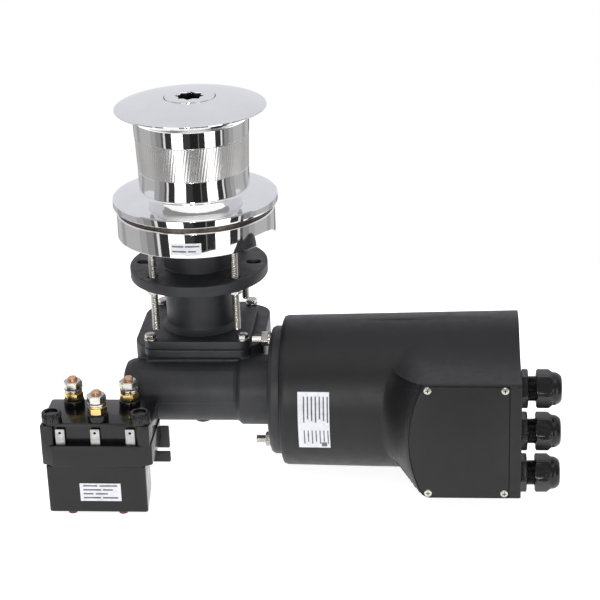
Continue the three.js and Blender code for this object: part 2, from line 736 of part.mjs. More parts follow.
const drumUnit = group('drum_unit');
place(drumUnit, 'main_shaft', mainShaft(), STEEL);
place(drumUnit, 'worm_wheel', wormWheel(), BRONZE);
place(drumUnit, 'lower_clutch_cone', lowerClutchCone(), BRONZE);
place(drumUnit, 'upper_clutch_cone', upperClutchCone(), BRONZE);
place(drumUnit, 'drum', drum(), POLISHED);
place(drumUnit, 'clutch_nut', clutchNut(), POLISHED);

const gearbox = group('gearbox');
place(gearbox, 'gear_housing', gearHousing(), BLACK_METAL);
place(gearbox, 'lower_bearing', lowerBearing(), DARK_STEEL);

const motor = group('motor', [0, AXIS_Y, AXIS_Z], true);
place(motor, 'worm_bearing_left', wormBearing(16, -68, -58.2), DARK_STEEL);
place(motor, 'worm_bearing_right', wormBearing(20, 51, 63), DARK_STEEL);
place(motor, 'worm_shaft', wormShaft(), DARK_STEEL);
place(motor, 'motor_flange', motorFlange(), BLACK_METAL);
place(motor, 'motor_yoke', motorYoke(), DARK_STEEL);
place(motor, 'motor_end_bell', motorEndBell(), DARK_STEEL);
place(motor, 'armature', armature(), COPPER);
place(motor, 'cover_end_cap', coverEndCap(), BLACK_PLASTIC);
[-1, 1].forEach((side, i) => {
  const at = [side * BOLT_CIRCLE, 0, 0];
  place(motor, `through_bolt_${i + 1}`, throughBolt(), STEEL, at);
  place(motor, `through_nut_${i + 1}`, throughNut(), STEEL, at);
});

const junctionBox = group('junction_box');
place(junctionBox, 'motor_cover', motorCover(), BLACK_PLASTIC);
place(junctionBox, 'junction_lid', junctionLid(), BLACK_PLASTIC);
LID_SCREWS.forEach(([x, z], i) => {
  place(junctionBox, `lid_screw_${i + 1}`, lidScrew(), STEEL, [x, 0, z]);
});
GLAND_Z.forEach((z, i) => {
  const gland = group(`gland_${i + 1}`, [0, GLAND_Y, z], true);
  place(gland, `gland_body_${i + 1}`, glandBody(), BLACK_PLASTIC);
  place(gland, `gland_nut_${i + 1}`, glandNut(), BLACK_PLASTIC);
});

const contactor = group('contactor');
place(contactor, 'contactor_case', contactorCase(), GLOSS_PLASTIC);
place(contactor, 'contactor_lid', contactorLid(), GLOSS_PLASTIC);
place(contactor, 'contactor_bracket', contactorBracket(), BLACK_METAL);
TERMINALS.forEach(([x, y], i) => {
  place(contactor, `contactor_stud_${i + 1}`, contactorStud(), COPPER, [x, y, 0]);
  place(contactor, `contactor_nut_${i + 1}`, contactorNut(), STEEL, [x, y, 0]);
});
TABS.forEach((x, i) => {
  place(contactor, `contactor_tab_${i + 1}`, contactorTab(), STEEL, [x, 0, 0]);
});

export default windlass;
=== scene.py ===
# Capstan windlass with its gearmotor and contactor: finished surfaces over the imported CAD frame.
# Shapes are in millimetres in the CAD frame, and become metres when a piece is made.
import json
import math

import bmesh
import bpy
import numpy as np
from mathutils import Matrix, Vector

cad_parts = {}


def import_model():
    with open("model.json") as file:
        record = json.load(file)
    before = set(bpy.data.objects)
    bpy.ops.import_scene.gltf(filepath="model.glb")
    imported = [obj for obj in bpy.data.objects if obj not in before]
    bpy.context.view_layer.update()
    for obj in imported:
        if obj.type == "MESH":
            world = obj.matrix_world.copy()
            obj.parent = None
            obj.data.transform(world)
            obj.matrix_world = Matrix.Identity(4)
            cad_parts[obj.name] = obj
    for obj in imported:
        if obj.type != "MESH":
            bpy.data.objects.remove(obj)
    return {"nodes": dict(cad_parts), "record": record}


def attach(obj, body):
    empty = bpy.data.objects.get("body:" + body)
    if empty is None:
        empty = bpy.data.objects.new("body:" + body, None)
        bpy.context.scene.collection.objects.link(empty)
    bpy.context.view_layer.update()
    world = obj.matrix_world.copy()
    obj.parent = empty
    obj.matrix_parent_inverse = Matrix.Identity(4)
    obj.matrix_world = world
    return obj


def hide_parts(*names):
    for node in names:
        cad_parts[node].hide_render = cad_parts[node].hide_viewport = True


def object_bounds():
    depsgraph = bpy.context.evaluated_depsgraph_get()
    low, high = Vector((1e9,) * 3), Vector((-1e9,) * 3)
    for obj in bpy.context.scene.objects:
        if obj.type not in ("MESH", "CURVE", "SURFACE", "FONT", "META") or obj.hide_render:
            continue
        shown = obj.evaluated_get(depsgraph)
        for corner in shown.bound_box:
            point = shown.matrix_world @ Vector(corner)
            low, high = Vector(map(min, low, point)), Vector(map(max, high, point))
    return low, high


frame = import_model()
cad_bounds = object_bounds()

MM = 0.001
MOTOR_Y, MOTOR_Z = -50, -156
STUD_OFFSET = 41.8
BOLT_OFFSET = 47.5
FOOT_HALF = 54.5
QUARTERS = [(1, 1), (-1, 1), (-1, -1), (1, -1)]
BARREL_GROOVES = 124
BOX_FRONT = 120
BOX_HALF_HEIGHT = 61
BOX_LEFT, BOX_RIGHT = 217.6, 327.5
BOX_BOW = 135
BOX_CORNER = 8
BOX_EDGE = 2.5
FLARE_WIDTH, FLARE_DEPTH = 30, 80
BLEND = 34
CORNER_GROWTH = 0.35
GLAND_Y = -143
GLAND_HEIGHTS = [-110.5, -156, -201.5]
LID_SCREWS = [(237.5, -101), (311.4, -101), (237.5, -211), (311.4, -211)]
TERMINALS = [(-116, -120), (-60, -120), (-86.5, -152)]
KNOBS = [(-131.5, -157.5), (-43.5, -157.5)]
CASE_FEET = [(-117, -162), (-66, -162)]
TABS = [-122.8, -88, -53.2]
CASE_FRONT = -168
NECK_BORE = 20.6
WHEEL_ROOM = 41
WORM_TUBE = 32
BASE_RADIUS = 80.8
FLOOR_HEIGHT = cad_bounds[0][2]
FLOOR_RADIUS = 0.62
CAMERA_PLACE = (0.25886, -1.7408, 0.64236)
CAMERA_TURN = (5.097, 22.374, 1.993)
CAMERA_LENS = 109.04


# ---- shapes: (points, faces) in millimetres ----


def spline(points, steps=8):
    """A smooth curve through the points."""
    ends = [points[0], *points, points[-1]]
    curve = []
    for a, b, c, d in zip(ends, ends[1:], ends[2:], ends[3:]):
        a, b, c, d = (np.array(p, float) for p in (a, b, c, d))
        for t in np.arange(steps) / steps:
            bend = 2 * b + (c - a) * t + (2 * a - 5 * b + 4 * c - d) * t**2
            curve.append(tuple((bend + (3 * b - a - 3 * c + d) * t**3) / 2))
    curve.append(tuple(points[-1]))
    return curve


def soften(outline, radius, steps=4):
    """Rounds the corners of a closed outline, leaving those on the axis and those of a curve."""
    rounded = []
    for i, corner in enumerate(outline):
        here = Vector(corner)
        before = Vector(outline[i - 1]) - here
        after = Vector(outline[(i + 1) % len(outline)]) - here
        opening = before.angle(after, math.pi)
        if opening > math.radians(158) or abs(here.x) < 1e-6:
            rounded.append(tuple(here))
            continue
        reach = min(radius / math.tan(opening / 2), 0.45 * before.length, 0.45 * after.length)
        start = here + before.normalized() * reach
        end = here + after.normalized() * reach
        for t in np.linspace(0, 1, steps + 1):
            rounded.append(tuple(start * (1 - t) ** 2 + here * 2 * t * (1 - t) + end * t**2))
    return rounded


def grid_faces(rows, columns):
    """Quads between rings of points, with the last ring joined to the first."""
    faces = []
    for i in range(rows):
        j = (i + 1) % rows
        for k in range(columns):
            m = (k + 1) % columns
            faces.append((i * columns + k, i * columns + m, j * columns + m, j * columns + k))
    return faces


def turned(rings, steps=96):
    """Rings about Z, each (radius, height) or (radius, height, twist), closed from last to first."""
    angles = np.arange(steps) * 2 * np.pi / steps
    points = []
    for radius, height, *twist in rings:
        turn = angles + (twist[0] if twist else 0)
        radius = np.broadcast_to(radius, steps)
        height = np.broadcast_to(height, steps)
        points.append(np.column_stack([radius * np.cos(turn), radius * np.sin(turn), height]))
    return np.vstack(points), grid_faces(len(rings), steps)


def prism(outline, low, high):
    """A plan in X and Y raised between two heights."""
    count = len(outline)
    points = [(x, y, low) for x, y in outline] + [(x, y, high) for x, y in outline]
    faces = [tuple(range(count))[::-1], tuple(range(count, 2 * count))]
    for k in range(count):
        m = (k + 1) % count
        faces.append((k, m, m + count, k + count))
    return np.array(points, float), faces


def rectangle(x0, x1, y0, y1, radius, steps=6):
    """A rectangle with round corners."""
    outline = []
    corners = [(x1, y1, 0), (x0, y1, 1), (x0, y0, 2), (x1, y0, 3)]
    for x, y, quarter in corners:
        cx = x - radius if x == x1 else x + radius
        cy = y - radius if y == y1 else y + radius
        for k in range(steps + 1):
            angle = (quarter + k / steps) * math.pi / 2
            outline.append((cx + radius * math.cos(angle), cy + radius * math.sin(angle)))
    return outline


def block(x0, x1, y0, y1, z0, z1, radius=1.0):
    return prism(rectangle(x0, x1, y0, y1, radius), z0, z1)


def rod(radius, low, high, edge=0.5, steps=48):
    return turned(soften([(0, low), (radius, low), (radius, high), (0, high)], edge), steps)


def hexagon_radius(across, steps):
    angles = np.arange(steps) * 2 * np.pi / steps
    return across / 2 / np.cos((angles % (np.pi / 3)) - np.pi / 6)


def hexagon(across, low, high, bore=0.0, land=0.96, steps=96):
    """A hexagon with its corners turned off at both ends, as a nut is."""
    flats = hexagon_radius(across, steps)
    land = across / 2 * land
    drop = np.maximum(flats - land, 0) * 0.55
    rings = [(bore, low), (land, low), (flats, low + drop), (flats, high - drop), (land, high)]
    return turned(rings + [(bore, high)], steps)


def threaded(radius, low, high, pitch, depth, steps=24):
    """A rod with a real helical thread and turned ends."""
    angles = np.arange(steps) / steps
    rings = [(0, low)]
    for height in np.arange(low, high + 0.01, pitch / 5):
        phase = (height / pitch - angles) % 1
        taper = np.clip(min(height - low, high - height) / 1.2, 0, 1)
        ridge = depth * np.abs(2 * phase - 1)
        rings.append((radius - ridge - (1 - taper) * depth * 1.2, height))
    return turned(rings + [(0, high)], steps)


def star(steps, outer, inner):
    """Radii of an eight-pointed star with straight sides, out to its points and in to its notches."""
    step = np.pi / 8
    angles = (np.arange(steps) * 2 * np.pi / steps) % (2 * step)
    angles = np.minimum(angles, 2 * step - angles)
    side = inner * np.sin(step) / (outer - inner * np.cos(step))
    return outer * side / (side * np.cos(angles) + np.sin(angles))


def serrated(steps, radius, teeth, depth):
    """Radii of a rim with rounded notches."""
    angles = np.arange(steps) * 2 * np.pi / steps
    return radius - depth * (0.5 - 0.5 * np.cos(angles * teeth)) ** 2


def joined(*shapes):
    """Several shapes as one."""
    points, faces = [], []
    offset = 0
    for some_points, some_faces in shapes:
        points.append(np.asarray(some_points, float))
        faces += [tuple(k + offset for k in face) for face in some_faces]
        offset += len(some_points)
    return np.vstack(points), faces


def moved(shape, x=0, y=0, z=0):
    return np.asarray(shape[0], float) + (x, y, z), shape[1]


def along_x(shape, y=MOTOR_Y, z=MOTOR_Z):
    """Turns a shape's own Z to run along X, on an axis at (y, z)."""
    points = np.asarray(shape[0], float)
    return np.column_stack([points[:, 2], points[:, 0] + y, points[:, 1] + z]), shape[1]


def facing_front(shape):
    """Turns a plan in X and Z to face the front: its own height becomes the depth towards -Y."""
    points = np.asarray(shape[0], float)
    return np.column_stack([points[:, 0], -points[:, 2], points[:, 1]]), shape[1]


# ---- materials ----


def node(tree, kind, **values):
    made = tree.nodes.new(kind)
    for key, value in values.items():
        if hasattr(made, key):
            setattr(made, key, value)
        else:
            made.inputs[key.replace("_", " ")].default_value = value
    return made


def noise(tree, source, scale, detail=4.0, roughness=0.55):
    made = node(tree, "ShaderNodeTexNoise", Scale=scale, Detail=detail, Roughness=roughness)
    tree.links.new(source, made.inputs["Vector"])
    return made.outputs["Fac"]


def remap(tree, source, low, high, to_low, to_high):
    made = node(tree, "ShaderNodeMapRange")
    values = {"From Min": low, "From Max": high, "To Min": to_low, "To Max": to_high}
    for key, value in values.items():
        made.inputs[key].default_value = value
    tree.links.new(source, made.inputs["Value"])
    return made.outputs["Result"]


def multiply(tree, a, b):
    made = node(tree, "ShaderNodeMath", operation="MULTIPLY")
    tree.links.new(a, made.inputs[0])
    tree.links.new(b, made.inputs[1])
    return made.outputs[0]


def mix_colour(tree, factor, a, b):
    made = node(tree, "ShaderNodeMix", data_type="RGBA")
    tree.links.new(factor, made.inputs[0])
    for index, value in ((6, a), (7, b)):
        if isinstance(value, bpy.types.NodeSocket):
            tree.links.new(value, made.inputs[index])
        else:
            made.inputs[index].default_value = (*value, 1)
    return made.outputs[2]


def turned_coordinates(tree, source):
    """Radius and height about the drum's axis, so that a noise on them draws polishing rings."""
    split = node(tree, "ShaderNodeSeparateXYZ")
    tree.links.new(source, split.inputs[0])
    flat = node(tree, "ShaderNodeCombineXYZ")
    tree.links.new(split.outputs[0], flat.inputs[0])
    tree.links.new(split.outputs[1], flat.inputs[1])
    length = node(tree, "ShaderNodeVectorMath", operation="LENGTH")
    tree.links.new(flat.outputs[0], length.inputs[0])
    ring = node(tree, "ShaderNodeCombineXYZ")
    tree.links.new(length.outputs["Value"], ring.inputs[0])
    tree.links.new(split.outputs[2], ring.inputs[1])
    return ring.outputs[0]


def surface(
    name, colour, worn, metallic, roughness, spread, grain, depth, wear=0.5, mottle=0.2, rings=False
):
    """One finish: mottled colour, uneven gloss, a fine relief and edges rubbed to the worn colour."""
    made = bpy.data.materials.new(name + "_finish")
    made.use_nodes = True
    tree = made.node_tree
    shader = tree.nodes["Principled BSDF"]
    shader.inputs["Metallic"].default_value = metallic
    shader.inputs["Specular IOR Level"].default_value = 0.5 if metallic else 0.36
    place = node(tree, "ShaderNodeTexCoord").outputs["Object"]
    cloud = remap(tree, noise(tree, place, 38, 5), 0.3, 0.7, 0, 1)
    darker = tuple(c * (1 - mottle) for c in colour)
    lighter = tuple(min(1, c * (1 + mottle)) for c in colour)
    base = mix_colour(tree, cloud, darker, lighter)
    edge = remap(tree, node(tree, "ShaderNodeNewGeometry").outputs["Pointiness"], 0.53, 0.62, 0, wear)
    rubbed = multiply(tree, edge, remap(tree, noise(tree, place, 240, 6), 0.35, 0.62, 0, 1))
    tree.links.new(mix_colour(tree, rubbed, base, worn), shader.inputs["Base Color"])
    smear = noise(tree, place, 95, 6, 0.65)
    gloss = remap(tree, smear, 0.3, 0.72, max(0.02, roughness - spread), roughness + spread)
    tree.links.new(gloss, shader.inputs["Roughness"])
    relief_place = turned_coordinates(tree, place) if rings else place
    bump = node(tree, "ShaderNodeBump", Strength=depth, Distance=0.0003)
    tree.links.new(noise(tree, relief_place, grain, 3), bump.inputs["Height"])
    tree.links.new(bump.outputs["Normal"], shader.inputs["Normal"])
    return made


POLISHED = surface(
    "polished_steel", (0.80, 0.795, 0.80), (0.9, 0.9, 0.9), 1, 0.045, 0.02, 1400, 0.015, 0.2,
    mottle=0.03, rings=True,
)
GRIP = surface(
    "grip_steel", (0.74, 0.73, 0.715), (0.9, 0.9, 0.9), 1, 0.25, 0.02, 1900, 0.003, 0.3, mottle=0.05
)
# Near-black steel colour for narrow gaps: painted shade where a gap is only in shadow.
GAP_SHADE = surface("painted_gap_shade", (0.07, 0.058, 0.048), (0.2, 0.17, 0.14), 1, 0.4, 0.1, 900, 0.2)
ANODISED = surface(
    "black_anodised", (0.0145, 0.015, 0.017), (0.09, 0.09, 0.095), 0.02, 0.5, 0.09, 2100, 0.4
)
BRACKET = surface("black_steel", (0.016, 0.016, 0.017), (0.14, 0.14, 0.14), 0.2, 0.4, 0.1, 1600, 0.25)
PLASTIC = surface(
    "black_plastic", (0.0055, 0.0055, 0.006), (0.03, 0.03, 0.032), 0, 0.43, 0.07, 2600, 0.3
)
GLOSS = surface(
    "gloss_plastic", (0.0045, 0.0045, 0.005), (0.05, 0.05, 0.052), 0, 0.2, 0.07, 900, 0.12
)
GLAND = surface("gland_plastic", (0.006, 0.006, 0.0065), (0.05, 0.05, 0.05), 0, 0.24, 0.07, 1800, 0.15)
ZINC = surface("zinc_steel", (0.52, 0.50, 0.46), (0.8, 0.8, 0.78), 1, 0.24, 0.1, 1500, 0.2)
TAB = surface("tinned_blade", (0.34, 0.33, 0.315), (0.75, 0.75, 0.74), 1, 0.38, 0.1, 1500, 0.25)
BRASS = surface("brass", (0.66, 0.47, 0.2), (0.9, 0.74, 0.42), 1, 0.22, 0.1, 1300, 0.2)
COPPER = surface("copper", (0.6, 0.34, 0.19), (0.85, 0.55, 0.36), 1, 0.26, 0.1, 1300, 0.2)
FOOT = surface("foot_rubber", (0.12, 0.035, 0.028), (0.25, 0.1, 0.08), 0, 0.45, 0.1, 1300, 0.2)
BRONZE = surface("bronze", (0.5, 0.33, 0.14), (0.8, 0.6, 0.3), 1, 0.32, 0.1, 1300, 0.2)
RUBBER = surface("seal_rubber", (0.008, 0.008, 0.008), (0.03, 0.03, 0.03), 0, 0.6, 0.1, 1500, 0.3)
DARK_STEEL = surface("dark_steel", (0.16, 0.16, 0.17), (0.5, 0.5, 0.5), 1, 0.36, 0.1, 1500, 0.2)
PAPER = surface(
    "label_film", (0.62, 0.63, 0.68), (0.8, 0.8, 0.82), 0, 0.34, 0.06, 1500, 0.05, mottle=0.05
)
PRINT = surface("label_print", (0.07, 0.07, 0.08), (0.2, 0.2, 0.2), 0, 0.5, 0.06, 1500, 0.05)
# Near black for the inside of the handle socket: painted shadow in its recess.
SOCKET_SHADE = surface("socket_shadow", (0.02, 0.019, 0.018), (0.1, 0.1, 0.1), 0.6, 0.5, 0.1, 900, 0.2)

SLOT_LOOKS = {
    "polished_steel": POLISHED,
    "black_anodised": ANODISED,
    "black_steel": BRACKET,
    "black_plastic": PLASTIC,
    "gloss_plastic": GLOSS,
    "bronze": BRONZE,
    "copper": COPPER,
    "seal_rubber": RUBBER,
    "dark_steel": DARK_STEEL,
    "zinc_steel": ZINC,
}
SLOT_OF = {look: name for name, look in SLOT_LOOKS.items()}
SLOT_OF.update({GRIP: "polished_steel", GLAND: "black_plastic", BRASS: "copper"})


# ---- pieces ----


def raw_object(name, shape):
    """A mesh object in metres, with doubled points merged and its faces turned outwards."""
    points, faces = shape
    data = bpy.data.meshes.new(name)
    data.from_pydata([tuple(p) for p in np.asarray(points) * MM], [], faces)
    tidy = bmesh.new()
    tidy.from_mesh(data)
    bmesh.ops.remove_doubles(tidy, verts=tidy.verts, dist=1e-6)
    bmesh.ops.recalc_face_normals(tidy, faces=tidy.faces)
    tidy.to_mesh(data)
    tidy.free()
    obj = bpy.data.objects.new(name, data)
    bpy.context.scene.collection.objects.link(obj)
    return obj


def settle(obj):
    """Makes the modifiers' result the object's own mesh."""
    graph = bpy.context.evaluated_depsgraph_get()
    data = bpy.data.meshes.new_from_object(obj.evaluated_get(graph))
    obj.modifiers.clear()
    obj.data = data


def carve(obj, *cutters, solver="EXACT"):
    """Cuts the shapes out of the object."""
    tools = [raw_object("tool", cutter) for cutter in cutters]
    for tool in tools:
        change = obj.modifiers.new("carve", "BOOLEAN")
        change.operation = "DIFFERENCE"
        change.solver = solver
        change.object = tool
    settle(obj)
    for tool in tools:
        bpy.data.objects.remove(tool)


def recast(obj, voxel, passes):
    """Fuses overlapping bodies into one skin with the soft fillets of a casting."""
    fuse = obj.modifiers.new("fuse", "REMESH")
    fuse.mode = "VOXEL"
    fuse.voxel_size = voxel * MM
    ease = obj.modifiers.new("ease", "SMOOTH")
    ease.factor = 0.6
    ease.iterations = passes
    settle(obj)


def shade(obj, angle=32):
    data = obj.data
    data.polygons.foreach_set("use_smooth", [True] * len(data.polygons))
    data.set_sharp_from_angle(angle=math.radians(angle))


def dress(obj, body, look, covers=(), bevel=0.0):
    """Finishes a piece: bevel, shading, material, the body it rides and the nodes it replaces."""
    if bevel:
        edges = obj.modifiers.new("edges", "BEVEL")
        edges.width = bevel * MM
        edges.segments = 3
        edges.limit_method = "ANGLE"
        edges.angle_limit = math.radians(32)
        edges.use_clamp_overlap = True
        settle(obj)
    shade(obj)
    obj.data.materials.clear()
    obj.data.materials.append(look)
    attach(obj, body)
    if covers:
        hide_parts(*covers)
    return obj


def piece(name, shape, body, look, covers=(), bevel=0.0):
    return dress(raw_object(name, shape), body, look, covers, bevel)


# ---- drum unit ----


def base_plate():
    """The polished ring on the deck, with a dark ring of painted shade in the gap under the drum."""
    outline = [(37.2, 0), (BASE_RADIUS - 0.8, 0), (BASE_RADIUS, 0.8), (BASE_RADIUS, 25.4)]
    outline += [(BASE_RADIUS - 1, 26.4), (78, 26.4), (78, 31.3)]
    outline += [(NECK_BORE, 31.3), (NECK_BORE, 20.8), (37.2, 20.8)]
    piece("visual_base", turned(soften(outline, 0.45), 256), "housing", POLISHED, ["base_plate"])
    # A dark ring on the step in the gap under the drum flange: painted shade.
    step = [(78, 26.45), (78.6, 26.45), (78.6, 31.1), (78, 31.1)]
    piece("base_gap_painted_shade", turned(step, 256), "housing", GAP_SHADE)


def drum():
    """The barrel between its flange and its domed cap, in one casting, with a grooved band."""
    flange = spline([(83, 41), (76, 43.4), (66, 45.8), (58.6, 47.9), (56.2, 49.6)])
    foot = spline([(57, 50.4), (56.2, 60), (56.2, 70.5)])
    band = [(55.6, 70.9), (55.5, 71.2), (56.7, 104.8), (57.0, 105.1)]
    shoulder = spline([(57.9, 105.6), (58.3, 114), (58.8, 122.4)])
    throat = spline([(59.4, 122.7), (61, 123.6), (66, 128.2), (75.4, 131.8)])
    cap = spline([(74.6, 134.8), (64, 138), (46, 141.2), (26.2, 143.1)])
    outline = [(60, 31.9), (82.6, 31.9), (84, 33.1), (84, 39.6), *flange, *foot, *band]
    outline += [*shoulder, *throat, (76.5, 132.6), (76.5, 133.7), *cap, (26.2, 130), (24.9, 130)]
    outline += [(18.9, 105.7), (17, 105.7), (17, 90.3), (20.3, 90.3), (34.3, 62), (46, 62)]
    outline += [(46, 44), (60, 38)]
    piece("visual_drum", turned(soften(outline, 0.4), 288), "drum", POLISHED, ["drum"])
    # A dark ring in the narrow gap round the clutch nut: painted shade, not a separate part.
    nut_gap_outline = [(25.5, 141.2), (26.15, 141.2), (26.15, 142.3), (25.5, 142.3)]
    piece("drum_nut_gap_shade", turned(nut_gap_outline, 192), "drum", GAP_SHADE)
    steps = BARREL_GROOVES * 4
    groove = np.tile([0, 0.06, 0.12, 0.06], BARREL_GROOVES)
    rings = [(54, 71.1)]
    for height in np.linspace(71.1, 104.9, 9):
        lean = (height - 71.1) * math.tan(math.radians(9.5)) / 57
        rings.append((56.3 + (height - 71.4) * 0.0407 - groove, height, lean))
    rings.append((54, 104.9, lean))
    piece("drum_grip_band", turned(rings, steps), "drum", GRIP)


def clutch_nut():
    """The cap nut that takes the handle in an eight-pointed socket."""
    steps = 384
    socket = star(steps, 15.2, 11.4)
    mouth = socket + 0.5
    rings = [(12.9, 113), (17.6, 113), (17.6, 130.4), (25, 130.4), (25.4, 130.8), (25.4, 143.1)]
    rings += [(25.2, 143.6), (24.7, 143.9), (20, 143.9), (mouth, 143.9), (socket, 143.4)]
    rings += [(socket, 131), (12.9, 130.9)]
    piece("visual_clutch_nut", turned(rings, steps), "clutch_nut", POLISHED, ["clutch_nut"])
    # A dark skin just inside the socket's walls and floor: painted shadow in the recess, not a liner
    # part.
    shadow_outline = [(0, 130.95), (socket - 0.05, 130.95), (socket - 0.05, 142.6), (socket - 0.35, 142.6)]
    shadow_outline += [(socket - 0.35, 131.3), (0, 131.3)]
    piece("socket_painted_shadow", turned(shadow_outline, steps), "clutch_nut", SOCKET_SHADE)


def neck_casting():
    """The black neck that clamps the deck from below, and its square foot."""
    outline = [(NECK_BORE, 20), (36.5, 20), (36.5, -34), (71.3, -34), (71.3, -45.5), (39.5, -45.5)]
    outline += spline([(36.8, -48), (36.5, -52), (36.5, -90), (37.6, -96.4), (42, -100.7)], 5)
    outline += [(NECK_BORE, -100.7)]
    neck = raw_object("visual_neck", turned(soften(outline, 1.0), 160))
    slots = []
    for turn, reach, length, width in (
        *((angle, 59.1, 6, 4.8) for angle in (45, 135, 225, 315)),
        *((angle, 57, 8, 5.5) for angle in (0, 180)),
    ):
        plan = np.array(rectangle(reach - length, reach + length, -width, width, width - 0.01, 8))
        turn = math.radians(turn)
        spin = np.array([[math.cos(turn), math.sin(turn)], [-math.sin(turn), math.cos(turn)]])
        slots.append(prism([tuple(p) for p in plan @ spin], -60, -20))
    carve(neck, *slots)
    dress(neck, "housing", ANODISED, ["neck_casting"], bevel=0.5)
    plan = rectangle(-FOOT_HALF, FOOT_HALF, -FOOT_HALF, FOOT_HALF, 12, 10)
    foot = raw_object("neck_foot", prism(plan, -110, -100.8))
    carve(foot, rod(NECK_BORE, -115, -95, 0.5, 96))
    dress(foot, "housing", ANODISED, ["neck_casting"], bevel=1.2)


def studs_and_nuts():
    washer = rod(8, -47.5, -45.8, 0.3)
    for number, (sx, sy) in enumerate(QUARTERS, 1):
        x, y = sx * STUD_OFFSET, sy * STUD_OFFSET
        stud = moved(threaded(4, -92, 0, 2.0, 0.75), x, y)
        piece(f"visual_stud_{number}", stud, "housing", ZINC, [f"stud_{number}"])
        nut = moved(hexagon(13, -51.7, -47.6, 3.9), x, y)
        covers = [f"stud_nut_{number}"]
        piece(f"visual_stud_nut_{number}", nut, "housing", ZINC, covers, bevel=0.25)
        piece(f"stud_washer_{number}", moved(washer, x, y), "housing", ZINC, covers)
    for number, (sx, sy) in enumerate(QUARTERS, 1):
        x, y = sx * BOLT_OFFSET, sy * BOLT_OFFSET
        head = moved(hexagon(10.5, -99.2, -94.8), x, y)
        covers = [f"neck_bolt_{number}"]
        piece(f"visual_neck_bolt_{number}", head, "housing", ZINC, covers, bevel=0.25)
        ring = moved(rod(6.4, -100.7, -99.2, 0.3), x, y)
        piece(f"neck_bolt_washer_{number}", ring, "housing", ZINC, covers)


# ---- gearbox ----


def on_worm_tube(angle, x, lift):
    """A place on the worm tube, at an angle up from the front."""
    radius = WORM_TUBE + lift
    return x, MOTOR_Y - radius * math.cos(angle), MOTOR_Z + radius * math.sin(angle)


def gear_housing():
    """One casting, bored for the wheel, the shaft and the worm: chamber, worm tube, neck seat."""
    chamber = block(-67, 67, -46, 70, -190, -110.3, 24)
    seat = block(-FOOT_HALF, FOOT_HALF, -FOOT_HALF, FOOT_HALF, -119.3, -110.3, 12)
    bridge = block(-52, 52, -52, -40, -182, -117, 4)
    profile = [(0, -75.6), (24, -75.6), (29.5, -73.2), (WORM_TUBE, -67.6), (WORM_TUBE, 41.7)]
    profile += [(36, 45.7), (36, 76.1), (0, 76.1)]
    tube = along_x(turned(soften(profile, 1.2), 96))
    drain = moved(rod(9, -190, -180, 0.8), 3, MOTOR_Y)
    casting = raw_object("visual_gear_housing", joined(chamber, seat, bridge, tube, drain))
    recast(casting, 0.9, 5)
    wheel_room = rod(WHEEL_ROOM, -176, -100, 0.5, 96)
    shaft_seat = rod(17.9, -188, -170)
    worm_bores = [rod(17.3, -57.7, 90), rod(16.3, -68.3, -50), rod(20.3, 50.7, 90)]
    carve(casting, wheel_room, shaft_seat, *map(along_x, worm_bores), solver="MANIFOLD")
    dress(casting, "housing", ANODISED, ["gear_housing"])
    pad = slab(on_worm_tube, math.radians(-2), math.radians(61), -57, 40, -1, 1, 40)
    piece("gear_housing_pad", pad, "housing", ANODISED, ["gear_housing"], bevel=0.6)
    cap = [(0, -76.2), (20, -76.2), (21, -75.9), (21, -74), (0, -74)]
    piece("worm_tube_cap", along_x(turned(soften(cap, 0.4), 96)), "housing", ANODISED)


# ---- motor ----


def motor_flange():
    outline = [(9.2, 76.4), (60, 76.4), (64, 77.6), (66, 80.9), (66, 88.7), (44.6, 88.7)]
    shape = along_x(turned(soften([*outline, (44.6, 94), (9.2, 94)], 0.7), 128))
    piece("visual_motor_flange", shape, "housing", ANODISED, ["motor_flange"])


def through_bolts():
    for number, height in enumerate((-99, -213), 1):
        shank = along_x(threaded(4, 58, 76.3, 1.8, 0.6), MOTOR_Y, height)
        piece(f"through_bolt_end_{number}", shank, "housing", ZINC)
        nut = along_x(hexagon(13, 67.4, 74.4, 3.9), MOTOR_Y, height)
        washer = along_x(rod(8, 74.4, 76.1, 0.3), MOTOR_Y, height)
        covers = [f"through_nut_{number}"]
        piece(f"visual_through_nut_{number}", nut, "housing", ZINC, covers, bevel=0.25)
        piece(f"through_washer_{number}", washer, "housing", ZINC, covers)


def bow(height):
    """How far the box's bowed left side has moved to the right at a height from its middle."""
    return BOX_BOW - np.sqrt(BOX_BOW**2 - np.minimum(np.abs(height), 100) ** 2)


def flare(drop):
    """How far the box's left side has spread at a depth behind its front edge."""
    return FLARE_WIDTH * (np.maximum(drop, 0) / FLARE_DEPTH) ** 0.8


def box_radius(angles, x, depth):
    """Distance from the motor's axis to the junction box at one X, at angles from the front."""
    cosine = np.maximum(np.cos(angles), 1e-4)
    sine = np.maximum(np.abs(np.sin(angles)), 1e-4)
    half = np.full(len(angles), float(BOX_HALF_HEIGHT))
    for _ in range(5):
        reach = np.minimum(depth / cosine, half / sine)
        drop = np.maximum(BOX_FRONT - BOX_EDGE - reach * cosine, 0)
        size = BOX_CORNER + CORNER_GROWTH * drop
        inside = np.clip(x - BOX_LEFT + flare(drop), 0, size)
        half = BOX_HALF_HEIGHT - size + np.sqrt(size**2 - (size - inside) ** 2)
    inner_depth, inner_half = depth - BOX_EDGE, half - BOX_EDGE
    along = cosine * inner_depth + sine * inner_half
    inside = along**2 - inner_depth**2 - inner_half**2 + BOX_EDGE**2
    in_corner = (reach * cosine > inner_depth) & (reach * sine > inner_half)
    reach = np.where(in_corner, along + np.sqrt(np.maximum(inside, 0)), reach)
    return np.where(np.cos(angles) > 0, reach, 0)


def smooth_max(a, b, width):
    share = np.clip(0.5 + 0.5 * (a - b) / width, 0, 1)
    return b + (a - b) * share + width * share * (1 - share)


def cover_radius(x):
    """The drafted cylinder's radius, with its turned-in left rim."""
    return np.interp(x, [89, 90.3, 93.5, BOX_RIGHT], [72.6, 75.8, 76.9, 81.6])


